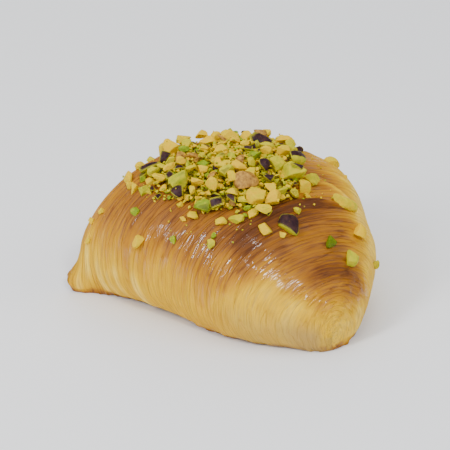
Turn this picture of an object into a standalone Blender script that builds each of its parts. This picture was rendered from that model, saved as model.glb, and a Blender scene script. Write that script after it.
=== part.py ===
"""A bell-shaped sfogliatella: a laminated pastry shell on its flat base, with chopped pistachios on its top.

Units are metres, +Z is up, and the nose points to -Y. The pastry is a loft of closed rings of dough, from the
spiral at the nose, over the belly, to the pinched seam at the back, with a tail at each end of the seam.
"""

import math
from typing import NamedTuple

import bmesh
import bpy
import numpy as np
from mathutils import Vector, noise
from mathutils.bvhtree import BVHTree

MM = 0.001

# Driving dimensions of the pastry.
LENGTH = 83 * MM
HALF_WIDTH = 47 * MM
HEIGHT = 45 * MM


class Station(NamedTuple):
    """One ring of the loft. The first value is its share of the way from nose to seam."""

    ring: float
    along: float  # share of LENGTH
    half_width: float  # share of HALF_WIDTH
    top: float  # share of HEIGHT
    belly: float  # height of the widest point, share of HEIGHT


STATIONS = (
    Station(0.00, along=0.000, half_width=0.000, top=0.116, belly=0.116),
    Station(0.10, along=0.020, half_width=0.153, top=0.347, belly=0.138),
    Station(0.22, along=0.094, half_width=0.368, top=0.484, belly=0.207),
    Station(0.36, along=0.211, half_width=0.570, top=0.691, belly=0.284),
    Station(0.52, along=0.373, half_width=0.738, top=0.887, belly=0.353),
    Station(0.68, along=0.614, half_width=0.900, top=0.993, belly=0.424),
    Station(0.82, along=0.819, half_width=0.943, top=0.991, belly=0.367),
    Station(0.92, along=0.940, half_width=1.000, top=0.871, belly=0.224),
    Station(1.00, along=1.000, half_width=0.919, top=0.200, belly=0.111),
)
NOSE_LEAN = 2.4 * MM  # the front half sits to the right of the nose's spiral
BACK_LEAN = -1.6 * MM  # and the back half a little to the left of it
SQUARE_FRONT, SQUARE_BACK = 2.0, 2.3  # superellipse powers of the rings
FOOT_ROUND = 1.2 * MM  # radius that rolls the side walls under to the flat base

# The tails, where the two ends of the seam stick out beyond the belly.
TAIL_REACH = 5.5 * MM
TAIL_HEIGHT = 8.5 * MM


class Fold(NamedTuple):
    """A ring where the dough in front laps over the dough behind: it rises to a crest and drops into a crease."""

    ring: float  # where the crest crosses the top
    bow: float  # how far its feet run forward of that
    height: float  # from crease to crest
    drop: float  # the share of the loft in which it falls
    middle: float  # degrees round the ring: 0 right foot, 90 top, 180 left foot
    spread: float  # degrees to each side of the middle


FOLD_RUN = 0.11  # the share of the loft in which it rises, and in which the crease fills out again
CREST_SHARE = 0.6  # of the height, above the plain shell; the rest is the crease
FOLDS = (
    Fold(0.245, bow=0.07, height=1.1 * MM, drop=0.045, middle=80, spread=80),
    Fold(0.500, bow=0.10, height=2.2 * MM, drop=0.022, middle=75, spread=95),
    Fold(0.600, bow=0.16, height=1.3 * MM, drop=0.022, middle=50, spread=45),
    Fold(0.697, bow=0.00, height=1.4 * MM, drop=0.018, middle=192, spread=40),
    Fold(0.830, bow=0.00, height=1.1 * MM, drop=0.018, middle=198, spread=30),
    Fold(0.870, bow=0.00, height=1.0 * MM, drop=0.018, middle=176, spread=30),
    Fold(0.740, bow=0.02, height=1.3 * MM, drop=0.020, middle=0, spread=45),
    Fold(0.850, bow=0.01, height=1.1 * MM, drop=0.020, middle=8, spread=50),
    Fold(0.905, bow=0.02, height=0.9 * MM, drop=0.020, middle=95, spread=60),
    Fold(0.955, bow=0.00, height=0.8 * MM, drop=0.018, middle=80, spread=75),
)
SWELL = 0.5 * MM  # the slow unevenness of hand-shaped dough

RINGS = 60
POINTS_ROUND = 60

# The pistachios: a low heap over the top, out to its uneven edge.
HEAP_MIDDLE = (-3 * MM, 53 * MM)  # from the nose, before the part is centred
HEAP_HALF_SIZES = (28 * MM, 24.5 * MM)
HEAP_DEPTH = 4.6 * MM
HEAP_LUMP = 1.1 * MM
HEAP_LUMP_SPACING = 6 * MM
HEAP_SUNK = 3 * MM  # of the uncut body, below the crust
GAP = 0.3 * MM  # between heap and crust


def smoothstep(low, high, x):
    """0 below low, 1 above high, and a smooth rise between them."""
    share = np.clip((x - low) / (high - low), 0, 1)
    return share * share * (3 - 2 * share)


def through(rings, values, at, flat_start=False):
    """A smooth curve through one value for each station, read at the ring shares in at."""
    step = np.diff(rings)
    slope = np.diff(values) / step
    tangent = np.empty(len(rings))
    tangent[1:-1] = (slope[:-1] * step[1:] + slope[1:] * step[:-1]) / (step[:-1] + step[1:])
    tangent[0] = 0 if flat_start else 1.5 * slope[0] - 0.5 * tangent[1]
    tangent[-1] = 1.5 * slope[-1] - 0.5 * tangent[-2]
    k = np.clip(np.searchsorted(rings, at, side="right") - 1, 0, len(rings) - 2)
    x = (at - rings[k]) / step[k]
    return (
        (2 * x**3 - 3 * x**2 + 1) * values[k]
        + (x**3 - 2 * x**2 + x) * step[k] * tangent[k]
        + (3 * x**2 - 2 * x**3) * values[k + 1]
        + (x**3 - x**2) * step[k] * tangent[k + 1]
    )


def signed_power(x, power):
    return np.sign(x) * np.abs(x) ** power


def plain_surface(ring, angle):
    """Points of the unfolded shell, one for each ring share (rows) and angle round the ring (columns)."""
    table = np.array(STATIONS).T
    rings = table[0]
    along = through(rings, table[1] * LENGTH, ring, flat_start=True)[:, None]
    half = through(rings, table[2] * HALF_WIDTH, ring)[:, None]
    top = through(rings, table[3] * HEIGHT, ring)[:, None]
    belly = through(rings, table[4] * HEIGHT, ring)[:, None]
    ring = ring[:, None]
    power = 2 / (SQUARE_FRONT + (SQUARE_BACK - SQUARE_FRONT) * smoothstep(0.1, 0.65, ring))
    sideways = signed_power(np.cos(angle), power)
    z = belly + (top - belly) * signed_power(np.sin(angle), power)
    rolled = (z + FOOT_ROUND) ** 2 / (4 * FOOT_ROUND)
    z = np.where(z > FOOT_ROUND, z, np.where(z < -FOOT_ROUND, 0, rolled))
    above = np.maximum(z - TAIL_HEIGHT / 3, 0) / (TAIL_HEIGHT * 2 / 3)
    tail = TAIL_REACH * smoothstep(0.86, 0.97, ring) * np.exp(-(above**2)) * np.abs(sideways) ** 3
    lean = NOSE_LEAN * smoothstep(0, 0.12, ring) + (BACK_LEAN - NOSE_LEAN) * smoothstep(0.6, 0.85, ring)
    x = half * sideways + np.sign(sideways) * tail + lean
    return np.stack(np.broadcast_arrays(x, along, z), axis=-1)


def outward(points):
    """Unit normals of a grid of points that is closed round its columns."""
    round_it = np.roll(points, -1, axis=1) - np.roll(points, 1, axis=1)
    along_it = np.gradient(points, axis=0)
    normal = np.cross(along_it, round_it)
    return normal / np.maximum(np.linalg.norm(normal, axis=-1, keepdims=True), 1e-12)


def relief(ring, angle):
    """How far the folds and the slow swell stand out from the plain shell."""
    ring = ring[:, None]
    degrees = np.degrees(angle)
    height = SWELL * np.sin(2 * angle + 9 * ring) * np.sin(11 * ring + 1) * np.ones_like(angle)
    for fold in FOLDS:
        away = (degrees - fold.middle + 180) % 360 - 180
        strength = smoothstep(0, 1, 1 - np.abs(away) / fold.spread)
        behind = ring - (fold.ring - fold.bow * np.cos(angle) ** 2)
        step = smoothstep(0, fold.drop, behind)
        crest = CREST_SHARE * smoothstep(-FOLD_RUN, 0, behind) ** 1.5 * (1 - step)
        crease = (1 - CREST_SHARE) * step * (1 - smoothstep(fold.drop, fold.drop + FOLD_RUN, behind))
        height = height + fold.height * strength * (crest - crease)
    return height


def shell_points(ring, angle):
    """Points of the folded shell. The base stays flat, and the nose's tip and the seam stay plain."""
    plain = plain_surface(ring, angle)
    strength = smoothstep(0, 3 * MM, plain[..., 2]) * smoothstep(0.02, 0.14, ring)[:, None]
    strength = strength * (1 - smoothstep(0.96, 1, ring))[:, None]
    moved = plain + outward(plain) * (relief(ring, angle) * strength)[..., None]
    moved[..., 2] = np.maximum(moved[..., 2], 0)
    return moved


def loft(rows):
    """A closed bmesh through rings of points. The first ring is a single point, and a face closes the last."""
    bm = bmesh.new()
    tip = bm.verts.new(rows[0][0])
    loops = [[bm.verts.new(point) for point in row] for row in rows[1:]]
    count = len(loops[0])
    for j in range(count):
        bm.faces.new((tip, loops[0][(j + 1) % count], loops[0][j]))
    for near, far in zip(loops, loops[1:]):
        for j in range(count):
            k = (j + 1) % count
            bm.faces.new((near[j], near[k], far[k], far[j]))
    bm.faces.new(loops[-1])
    bmesh.ops.recalc_face_normals(bm, faces=bm.faces)
    return bm


def material(name, colour, roughness):
    made = bpy.data.materials.new(name)
    made.use_nodes = True
    shader = made.node_tree.nodes["Principled BSDF"]
    shader.inputs["Base Color"].default_value = (*colour, 1)
    shader.inputs["Roughness"].default_value = roughness
    shader.inputs["Metallic"].default_value = 0
    return made


def add_object(name, bm, collection, look=None):
    mesh = bpy.data.meshes.new(name)
    bm.to_mesh(mesh)
    bm.free()
    mesh.shade_smooth()
    mesh.set_sharp_from_angle(angle=math.radians(50))
    obj = bpy.data.objects.new(name, mesh)
    collection.objects.link(obj)
    if look:
        mesh.materials.append(look)
    return obj


def add_pastry(collection):
    rings = np.linspace(0, 1, RINGS)
    angles = np.linspace(0, 2 * math.pi, POINTS_ROUND, endpoint=False)
    bm = loft(shell_points(rings, angles))
    base = [face for face in bm.faces if max(vert.co.z for vert in face.verts) < 1e-7]
    bmesh.ops.dissolve_faces(bm, faces=base, use_verts=True)
    return add_object("pastry", bm, collection, material("glazed_crust", (0.55, 0.33, 0.12), 0.35))


def add_clearance(pastry, collection):
    """A cutter: the pastry swollen by the gap that touching pieces keep."""
    cutter = bpy.data.objects.new("pastry_clearance", pastry.data.copy())
    collection.objects.link(cutter)
    swell = cutter.modifiers.new("swell", "DISPLACE")
    swell.mid_level = 0
    swell.strength = GAP
    cutter.hide_render = True
    cutter.display_type = "WIRE"
    return cutter


def heap_outline(bearing):
    """The uneven, three-cornered edge of the heap, as a share of its half sizes."""
    corners = 0.09 * math.sin(3 * bearing)
    return 1 + corners + 0.03 * math.sin(7 * bearing + 1) + 0.02 * math.sin(13 * bearing)


def add_heap(pastry, cutter, collection):
    """A squashed sphere draped over the crust: its upper half is the lumpy top, its lower half is cut away."""
    crust = BVHTree.FromObject(pastry, bpy.context.evaluated_depsgraph_get())
    bm = bmesh.new()
    bmesh.ops.create_icosphere(bm, subdivisions=4, radius=1)
    for vert in bm.verts:
        edge = heap_outline(math.atan2(vert.co.y, vert.co.x))
        x = HEAP_MIDDLE[0] + HEAP_HALF_SIZES[0] * edge * vert.co.x
        y = HEAP_MIDDLE[1] + HEAP_HALF_SIZES[1] * edge * vert.co.y
        ground = crust.ray_cast(Vector((x, y, 1)), Vector((0, 0, -1)))[0].z
        lump = HEAP_LUMP * noise.noise(Vector((x, y, 0)) / HEAP_LUMP_SPACING)
        share = vert.co.z
        depth = (HEAP_DEPTH + lump) * share**0.8 if share > 0 else HEAP_SUNK * share
        vert.co = (x, y, ground + depth)
    heap = add_object("chopped_pistachios", bm, collection, material("pistachio", (0.48, 0.44, 0.10), 0.7))
    cut = heap.modifiers.new("rest_on_crust", "BOOLEAN")
    cut.operation = "DIFFERENCE"
    cut.object = cutter
    return heap


def centre_on_base(objects, pastry):
    """Puts the origin at the bottom centre of the pastry's box."""
    corners = np.array([vert.co for vert in pastry.data.vertices])
    middle = (corners.min(axis=0) + corners.max(axis=0)) / 2
    for obj in objects:
        obj.location = (-middle[0], -middle[1], 0)


def main():
    for obj in list(bpy.data.objects):
        bpy.data.objects.remove(obj)
    parts = bpy.data.collections.new("sfogliatella")
    cutters = bpy.data.collections.new("cutters")
    for collection in (parts, cutters):
        bpy.context.scene.collection.children.link(collection)
    pastry = add_pastry(parts)
    cutter = add_clearance(pastry, cutters)
    heap = add_heap(pastry, cutter, parts)
    centre_on_base((pastry, cutter, heap), pastry)


main()
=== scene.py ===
"""The looks of a glazed sfogliatella with chopped pistachios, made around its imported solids.

Units are metres and +Z is up. The nose points to -Y, and the pinched seam is at +Y. The crust repeats the
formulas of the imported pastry, with its leaves and browning added. The nuts are dropped one by one onto it.
"""

import functools
import math
from typing import NamedTuple

import bmesh
import bpy
import numpy as np
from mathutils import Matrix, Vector
from mathutils.bvhtree import BVHTree

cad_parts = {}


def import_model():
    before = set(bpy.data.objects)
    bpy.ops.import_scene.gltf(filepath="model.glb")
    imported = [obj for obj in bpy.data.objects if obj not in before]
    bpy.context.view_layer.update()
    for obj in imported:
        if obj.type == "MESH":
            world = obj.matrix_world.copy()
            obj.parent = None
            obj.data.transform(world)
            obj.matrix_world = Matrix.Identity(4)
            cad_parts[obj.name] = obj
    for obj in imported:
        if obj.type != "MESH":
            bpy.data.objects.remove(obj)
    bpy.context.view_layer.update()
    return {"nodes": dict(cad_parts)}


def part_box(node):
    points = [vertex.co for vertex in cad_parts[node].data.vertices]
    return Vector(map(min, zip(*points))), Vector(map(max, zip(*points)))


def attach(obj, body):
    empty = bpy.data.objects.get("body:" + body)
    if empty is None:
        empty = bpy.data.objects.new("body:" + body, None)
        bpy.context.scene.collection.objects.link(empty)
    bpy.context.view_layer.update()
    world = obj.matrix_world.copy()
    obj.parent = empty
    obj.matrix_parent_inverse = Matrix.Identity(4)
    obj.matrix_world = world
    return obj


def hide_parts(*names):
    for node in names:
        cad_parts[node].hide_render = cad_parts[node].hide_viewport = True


MM = 0.001

# Driving dimensions of the pastry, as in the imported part.
LENGTH = 83 * MM
HALF_WIDTH = 47 * MM
HEIGHT = 45 * MM


class Station(NamedTuple):
    """One ring of the loft. The first value is its share of the way from nose to seam."""

    ring: float
    along: float  # share of LENGTH
    half_width: float  # share of HALF_WIDTH
    top: float  # share of HEIGHT
    belly: float  # height of the widest point, share of HEIGHT


STATIONS = (
    Station(0.00, along=0.000, half_width=0.000, top=0.116, belly=0.116),
    Station(0.10, along=0.020, half_width=0.153, top=0.347, belly=0.138),
    Station(0.22, along=0.094, half_width=0.368, top=0.484, belly=0.207),
    Station(0.36, along=0.211, half_width=0.570, top=0.691, belly=0.284),
    Station(0.52, along=0.373, half_width=0.738, top=0.887, belly=0.353),
    Station(0.68, along=0.614, half_width=0.900, top=0.993, belly=0.424),
    Station(0.82, along=0.819, half_width=0.943, top=0.991, belly=0.367),
    Station(0.92, along=0.940, half_width=1.000, top=0.871, belly=0.224),
    Station(1.00, along=1.000, half_width=0.919, top=0.200, belly=0.111),
)
NOSE_LEAN = 2.4 * MM
BACK_LEAN = -1.6 * MM
SQUARE_FRONT, SQUARE_BACK = 2.0, 2.3
FOOT_ROUND = 1.2 * MM
TAIL_REACH = 5.5 * MM
TAIL_HEIGHT = 8.5 * MM


class Baking(NamedTuple):
    """How far one ring is baked, from 0 for pale to 1 for the darkest brown."""

    ring: float
    left: float  # at the left foot
    top: float
    right: float  # at the right foot
    left_edge: float  # degrees round the ring at which the left turns pale
    right_edge: float


BAKING = (
    Baking(0.00, left=0.10, top=0.05, right=0.02, left_edge=124, right_edge=38),
    Baking(0.08, left=0.10, top=0.20, right=0.06, left_edge=126, right_edge=32),
    Baking(0.14, left=0.17, top=0.47, right=0.02, left_edge=124, right_edge=32),
    Baking(0.20, left=0.08, top=0.54, right=0.15, left_edge=123, right_edge=13),
    Baking(0.26, left=0.14, top=0.72, right=0.10, left_edge=122, right_edge=40),
    Baking(0.32, left=0.10, top=0.70, right=0.08, left_edge=127, right_edge=50),
    Baking(0.38, left=0.13, top=0.66, right=0.02, left_edge=147, right_edge=51),
    Baking(0.44, left=0.18, top=0.68, right=0.00, left_edge=157, right_edge=57),
    Baking(0.53, left=0.17, top=0.66, right=0.00, left_edge=164, right_edge=50),
    Baking(0.64, left=0.14, top=0.70, right=0.02, left_edge=167, right_edge=50),
    Baking(0.70, left=0.10, top=0.70, right=0.16, left_edge=168, right_edge=50),
    Baking(0.78, left=0.10, top=0.66, right=0.40, left_edge=166, right_edge=45),
    Baking(0.84, left=0.07, top=0.54, right=0.50, left_edge=167, right_edge=45),
    Baking(0.90, left=0.12, top=0.44, right=0.48, left_edge=158, right_edge=45),
    Baking(1.00, left=0.20, top=0.42, right=0.42, left_edge=140, right_edge=45),
)


class Fold(NamedTuple):
    """A ring where the dough in front laps over the dough behind."""

    ring: float  # where the crest crosses the top
    bow: float  # how far its feet run forward of that
    height: float  # from crease to crest
    drop: float  # the share of the loft in which it falls
    middle: float  # degrees round the ring: 0 right foot, 90 top, 180 left foot
    spread: float  # degrees to each side of the middle
    browning: float = 0.0  # how much darker its crest is baked
    painted_ridge_light: float = 0.0  # how much paler the very edge of its crest is, as a painted highlight, and how much darker its crease is, as painted shade


FOLD_RUN = 0.11
CREST_SHARE = 0.6
FOLDS = (
    Fold(0.245, bow=0.07, height=1.1 * MM, drop=0.045, middle=80, spread=80, browning=0.18),
    Fold(0.500, bow=0.10, height=2.2 * MM, drop=0.022, middle=75, spread=95, browning=0.36),
    Fold(0.600, bow=0.16, height=1.3 * MM, drop=0.022, middle=50, spread=45, browning=0.12, painted_ridge_light=0.30),
    Fold(0.697, bow=0.00, height=1.4 * MM, drop=0.018, middle=192, spread=40, painted_ridge_light=0.22),
    Fold(0.830, bow=0.00, height=1.1 * MM, drop=0.018, middle=198, spread=30, painted_ridge_light=0.20),
    Fold(0.870, bow=0.00, height=1.0 * MM, drop=0.018, middle=176, spread=30, painted_ridge_light=0.16),
    Fold(0.740, bow=0.02, height=1.3 * MM, drop=0.020, middle=0, spread=45, browning=0.05, painted_ridge_light=0.20),
    Fold(0.850, bow=0.01, height=1.1 * MM, drop=0.020, middle=8, spread=50, browning=0.10, painted_ridge_light=0.20),
    Fold(0.905, bow=0.02, height=0.9 * MM, drop=0.020, middle=95, spread=60, browning=0.15, painted_ridge_light=0.10),
    Fold(0.955, bow=0.00, height=0.8 * MM, drop=0.018, middle=80, spread=75, browning=0.15, painted_ridge_light=0.10),
)
CREASES = (  # smaller ones that gather towards the tails
    Fold(0.765, bow=0.00, height=0.7 * MM, drop=0.014, middle=196, spread=30, painted_ridge_light=0.12),
    Fold(0.800, bow=0.00, height=0.6 * MM, drop=0.014, middle=200, spread=28, painted_ridge_light=0.12),
    Fold(0.905, bow=0.00, height=0.8 * MM, drop=0.014, middle=196, spread=34, painted_ridge_light=0.14),
    Fold(0.935, bow=0.00, height=0.8 * MM, drop=0.014, middle=200, spread=32, painted_ridge_light=0.14),
    Fold(0.790, bow=0.01, height=0.7 * MM, drop=0.014, middle=-12, spread=36, painted_ridge_light=0.12),
    Fold(0.915, bow=0.00, height=0.8 * MM, drop=0.014, middle=-16, spread=36, painted_ridge_light=0.14),
    Fold(0.640, bow=0.06, height=0.6 * MM, drop=0.014, middle=38, spread=34, painted_ridge_light=0.14),
    Fold(0.560, bow=0.10, height=0.5 * MM, drop=0.014, middle=28, spread=34, painted_ridge_light=0.10),
)
SWELL = 0.5 * MM

# The heap of nuts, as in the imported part. Its middle is measured from the nose.
HEAP_MIDDLE = (-3 * MM, 53 * MM)
HEAP_HALF_SIZES = (28 * MM, 24.5 * MM)
NOSE_FRAME = (1.614 * MM, -41.5 * MM)

# The crust's mesh.
RINGS = 500
COLUMNS = 184
SEAM_ROWS = 12
SEAM_GROOVE = 0.7 * MM
SEAM_SLIT = 0.08
ROUND_LENGTH = 42 * MM  # an arc of one radian, for patterns round the shell

# The dough's leaves: spacing and height of their edges, from the coarse ones to the finest.
LEAVES = (
    (4.6 * MM, 0.34 * MM),
    (1.9 * MM, 0.20 * MM),
    (0.9 * MM, 0.11 * MM),
)


def smoothstep(low, high, x):
    """0 below low, 1 above high, and a smooth rise between them."""
    share = np.clip((x - low) / (high - low), 0, 1)
    return share * share * (3 - 2 * share)


def bump(x, middle, spread):
    """A smooth hill of height 1 round the middle."""
    return np.exp(-(((x - middle) / spread) ** 2))


def through(rings, values, at, flat_start=False):
    """A smooth curve through one value for each station, read at the ring shares in at."""
    step = np.diff(rings)
    slope = np.diff(values) / step
    tangent = np.empty(len(rings))
    tangent[1:-1] = (slope[:-1] * step[1:] + slope[1:] * step[:-1]) / (step[:-1] + step[1:])
    tangent[0] = 0 if flat_start else 1.5 * slope[0] - 0.5 * tangent[1]
    tangent[-1] = 1.5 * slope[-1] - 0.5 * tangent[-2]
    k = np.clip(np.searchsorted(rings, at, side="right") - 1, 0, len(rings) - 2)
    x = (at - rings[k]) / step[k]
    return (
        (2 * x**3 - 3 * x**2 + 1) * values[k]
        + (x**3 - 2 * x**2 + x) * step[k] * tangent[k]
        + (3 * x**2 - 2 * x**3) * values[k + 1]
        + (x**3 - x**2) * step[k] * tangent[k + 1]
    )


def signed_power(x, power):
    return np.sign(x) * np.abs(x) ** power


def ring_power(ring):
    return 2 / (SQUARE_FRONT + (SQUARE_BACK - SQUARE_FRONT) * smoothstep(0.1, 0.65, ring))


def plain_surface(ring, angle):
    """Points of the unfolded shell at ring shares and angles round the ring, measured from the nose."""
    table = np.array(STATIONS).T
    rings = table[0]
    along = through(rings, table[1] * LENGTH, ring, flat_start=True)
    half = through(rings, table[2] * HALF_WIDTH, ring)
    top = through(rings, table[3] * HEIGHT, ring)
    belly = through(rings, table[4] * HEIGHT, ring)
    power = ring_power(ring)
    sideways = signed_power(np.cos(angle), power)
    z = belly + (top - belly) * signed_power(np.sin(angle), power)
    rolled = (z + FOOT_ROUND) ** 2 / (4 * FOOT_ROUND)
    z = np.where(z > FOOT_ROUND, z, np.where(z < -FOOT_ROUND, 0, rolled))
    above = np.maximum(z - TAIL_HEIGHT / 3, 0) / (TAIL_HEIGHT * 2 / 3)
    tail = TAIL_REACH * smoothstep(0.86, 0.97, ring) * np.exp(-(above**2)) * np.abs(sideways) ** 3
    lean = NOSE_LEAN * smoothstep(0, 0.12, ring) + (BACK_LEAN - NOSE_LEAN) * smoothstep(0.6, 0.85, ring)
    x = half * sideways + np.sign(sideways) * tail + lean
    return np.stack(np.broadcast_arrays(x, along, z), axis=-1)


def foot_angle(ring):
    """The angle at which each ring meets the ground on its right, or straight down where it doesn't."""
    table = np.array(STATIONS).T
    top = through(table[0], table[3] * HEIGHT, ring)
    belly = through(table[0], table[4] * HEIGHT, ring)
    reach = (belly + FOOT_ROUND) / np.maximum(top - belly, 1e-6)
    return -np.arcsin(np.minimum(reach, 1) ** (1 / ring_power(ring)))


def outward(points):
    """Unit normals of a grid of points whose rows run from the right foot to the left."""
    normal = np.cross(np.gradient(points, axis=0), np.gradient(points, axis=1))
    return normal / np.maximum(np.linalg.norm(normal, axis=-1, keepdims=True), 1e-12)


def fold_parts(fold, ring, angle):
    """Where one fold rises to its crest, where it sinks behind it, and the very edge of its crest where a painted
    highlight goes, all from 0 to 1.
    """
    away = (np.degrees(angle) - fold.middle + 180) % 360 - 180
    strength = smoothstep(0, 1, 1 - np.abs(away) / fold.spread)
    behind = ring - (fold.ring - fold.bow * np.cos(angle) ** 2)
    step = smoothstep(0, fold.drop, behind)
    crest = smoothstep(-FOLD_RUN, 0, behind) ** 1.5 * (1 - step)
    crease = step * (1 - smoothstep(fold.drop, fold.drop + FOLD_RUN, behind))
    # the very edge of the crest, where a painted highlight goes
    edge = bump(behind, -0.004, 0.011)
    return strength * crest, strength * crease, strength * edge


def fold_relief(ring, angle):
    """How far the folds, the creases and the slow swell stand out from the plain shell."""
    height = SWELL * np.sin(2 * angle + 9 * ring) * np.sin(11 * ring + 1)
    for fold in FOLDS + CREASES:
        crest, crease, _ = fold_parts(fold, ring, angle)
        if fold in CREASES:
            crest = crest**2
        height = height + fold.height * (CREST_SHARE * crest - (1 - CREST_SHARE) * crease)
    return height


@functools.cache
def noise_lattice(seed):
    return np.random.default_rng(seed).uniform(-1, 1, (256, 256))


def drift(u, v, seed):
    """Smooth noise from -1 to 1 over two coordinates, with about one bump to each unit."""
    lattice = noise_lattice(seed)
    size = len(lattice)
    i, j = np.floor(u).astype(int), np.floor(v).astype(int)
    x, y = u - i, v - j
    x, y = x * x * (3 - 2 * x), y * y * (3 - 2 * y)
    near = lattice[i % size, j % size] * (1 - y) + lattice[i % size, (j + 1) % size] * y
    far = lattice[(i + 1) % size, j % size] * (1 - y) + lattice[(i + 1) % size, (j + 1) % size] * y
    return near * (1 - x) + far * x


def leaf_edges(layer, around, spacing, seed):
    """Leaf edges from 0 to 1: each rises to its rear edge and drops there, and it comes and goes on its way round."""
    place = layer / spacing + 0.9 * drift(layer / (5 * spacing), around / (16 * MM), seed)
    place = place + 0.25 * drift(layer / (2 * spacing), around / (5 * MM), seed + 1)
    leaf = np.floor(place)
    share = place - leaf
    shown = np.clip(0.35 + 0.9 * drift(leaf * 1.37 + 0.5, around / (14 * MM) + leaf * 0.61, seed + 2), 0, 1)
    return shown * share**2 * (1 - smoothstep(0.9, 1, share))


class Shell(NamedTuple):
    """The crust as grids of values, with one row for each ring and one column for each angle."""

    points: np.ndarray
    normals: np.ndarray
    layer: np.ndarray  # distance from the nose over the shell
    around: np.ndarray  # distance round the shell
    bake: np.ndarray  # 0 pale, 1 darkest
    glaze: np.ndarray  # 0 dry, 1 shiny
    fused: np.ndarray  # 1 where the leaves have melted together


def layer_distance(ring):
    """The distance from the nose to each ring share, as the mean over the top and the two sides."""
    dense = np.linspace(0, 1, 2001)[:, None]
    lines = plain_surface(dense, np.radians([15, 55, 90, 125, 165])[None, :])
    steps = np.linalg.norm(np.diff(lines, axis=0), axis=-1).mean(axis=1)
    return np.interp(ring, dense[:, 0], np.concatenate([[0], np.cumsum(steps)]))


def even_rings(count):
    """Ring shares that are evenly spread over the shell."""
    dense = np.linspace(0, 1, 2001)
    distance = layer_distance(dense)
    return np.interp(np.linspace(0, distance[-1], count), distance, dense)


def browning(ring, angle, height, layer, around):
    """How far each spot is baked: pale at the feet, amber over the top, and dark on the crests of the folds. It also
    holds painted light: a painted highlight that pales the very edge of each crest, and painted shade that darkens its
    crease.
    """
    degrees = np.degrees(angle)
    table = np.array(BAKING).T
    left, top, right, left_edge, right_edge = (through(table[0], column, ring) for column in table[1:])
    wander = 6 * drift(layer / (9 * MM), around / (13 * MM), 21) + 5 * drift(layer / (1.8 * MM), around / (12 * MM), 22)
    from_left = 1 - smoothstep(left_edge - 26, left_edge + 26, degrees + wander)
    from_right = smoothstep(right_edge - 20, right_edge + 26, degrees + wander)
    top = top - 0.14 * smoothstep(0.50, 0.54, ring) * (1 - smoothstep(70, 105, degrees))
    side = np.where(degrees > 90, left, right)
    bake = side + (top - side) * from_left * from_right
    bake = bake + 0.20 * bump(ring, 0.50, 0.045) * bump(degrees, 124, 15)
    for fold in FOLDS + CREASES:
        crest, crease, painted_ridge_light = fold_parts(fold, ring, angle)
        bake = bake + fold.browning * from_left * from_right * (crest - 0.25 * crease)
        # painted highlight on the very edge of each crest, and painted shade in its crease
        bake = bake - fold.painted_ridge_light * painted_ridge_light + 0.5 * fold.painted_ridge_light * crease * crease
    tip = smoothstep(0.90, 0.99, ring) * (1 - smoothstep(4 * MM, 12 * MM, height)) * np.abs(np.cos(angle)) ** 2
    foot = 1 - smoothstep(0.4 * MM, 2.4 * MM, height + 0.9 * MM * drift(layer / (2.5 * MM), around / (9 * MM), 23))
    bake = np.clip(bake, 0, 1) + 0.35 * tip
    return np.clip(bake + foot * np.maximum(0.66 - bake, 0), 0, 1)


def make_shell():
    """The whole shell at the crust's resolution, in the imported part's frame."""
    ring = even_rings(RINGS)[:, None]
    foot = foot_angle(ring)
    angle = foot + (math.pi - 2 * foot) * np.linspace(0, 1, COLUMNS)[None, :]
    plain = plain_surface(ring, angle)
    normal = outward(plain)
    layer = layer_distance(ring) + 0 * angle
    around = angle * ROUND_LENGTH
    height = plain[..., 2]
    degrees = np.degrees(angle)

    bake = browning(ring, angle, height, layer, around)
    fused = smoothstep(148, 184, degrees) * smoothstep(0.03, 0.11, ring) * (1 - smoothstep(0.14, 0.34, ring))
    fused = np.maximum(fused, 0.6 * smoothstep(166, 192, degrees) * (1 - smoothstep(0.30, 0.50, ring)))
    flaky = (0.45 + 0.85 * smoothstep(0.15, 0.6, bake)) * (1 - 0.75 * fused)
    dry = 0.08 * smoothstep(0.40, 0.50, ring)
    glaze = smoothstep(0.03 + dry, 0.32 + dry, bake) * (1 - 0.7 * smoothstep(0.58, 0.8, bake)) * (1 - fused) * (0.75 + 0.25 * drift(layer / (6 * MM), around / (9 * MM), 31))

    ends = smoothstep(0, 3 * MM, height) * smoothstep(0.02, 0.14, ring) * (1 - smoothstep(0.96, 1, ring))
    relief = fold_relief(ring, angle) * ends
    fine = np.zeros_like(layer)
    for k, (spacing, size) in enumerate(LEAVES):
        fine = fine + size * (leaf_edges(layer, around, spacing, 40 + 10 * k) - 0.3)
    fine = fine + 0.16 * MM * drift(layer / (5 * MM), around / (7 * MM), 33)
    fine = fine * flaky * smoothstep(0, 1.2 * MM, height) * smoothstep(0.004, 0.05, ring)
    fine = fine * (1 - smoothstep(0.985, 1, ring))
    points = plain + normal * (relief + fine)[..., None]

    ragged = leaf_edges(layer, around / 8, 5.5 * MM, 80) + 0.5 * leaf_edges(layer, around / 8, 2.1 * MM, 83)
    ragged = ragged + 0.35 * drift(layer / (1.3 * MM), around / (40 * MM), 34) - 0.35
    ragged = ragged * (1 - smoothstep(0.5 * MM, 3.0 * MM, height))
    ragged = 1.0 * MM * ragged * smoothstep(0.05, 0.12, ring) * (1 - smoothstep(0.95, 0.975, ring))
    sideways = normal[..., :2] / np.maximum(np.linalg.norm(normal[..., :2], axis=-1, keepdims=True), 0.05)
    points[..., :2] += sideways * ragged[..., None]

    low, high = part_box("pastry")
    middle = (points.reshape(-1, 3).min(axis=0) + points.reshape(-1, 3).max(axis=0)) / 2
    points[..., 0] += (low.x + high.x) / 2 - middle[0]
    points[..., 1] += (low.y + high.y) / 2 - middle[1]
    points = np.clip(points, np.array(low), np.array(high))
    return Shell(points, outward(points), layer, around, bake, np.clip(glaze, 0, 1), fused)


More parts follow.
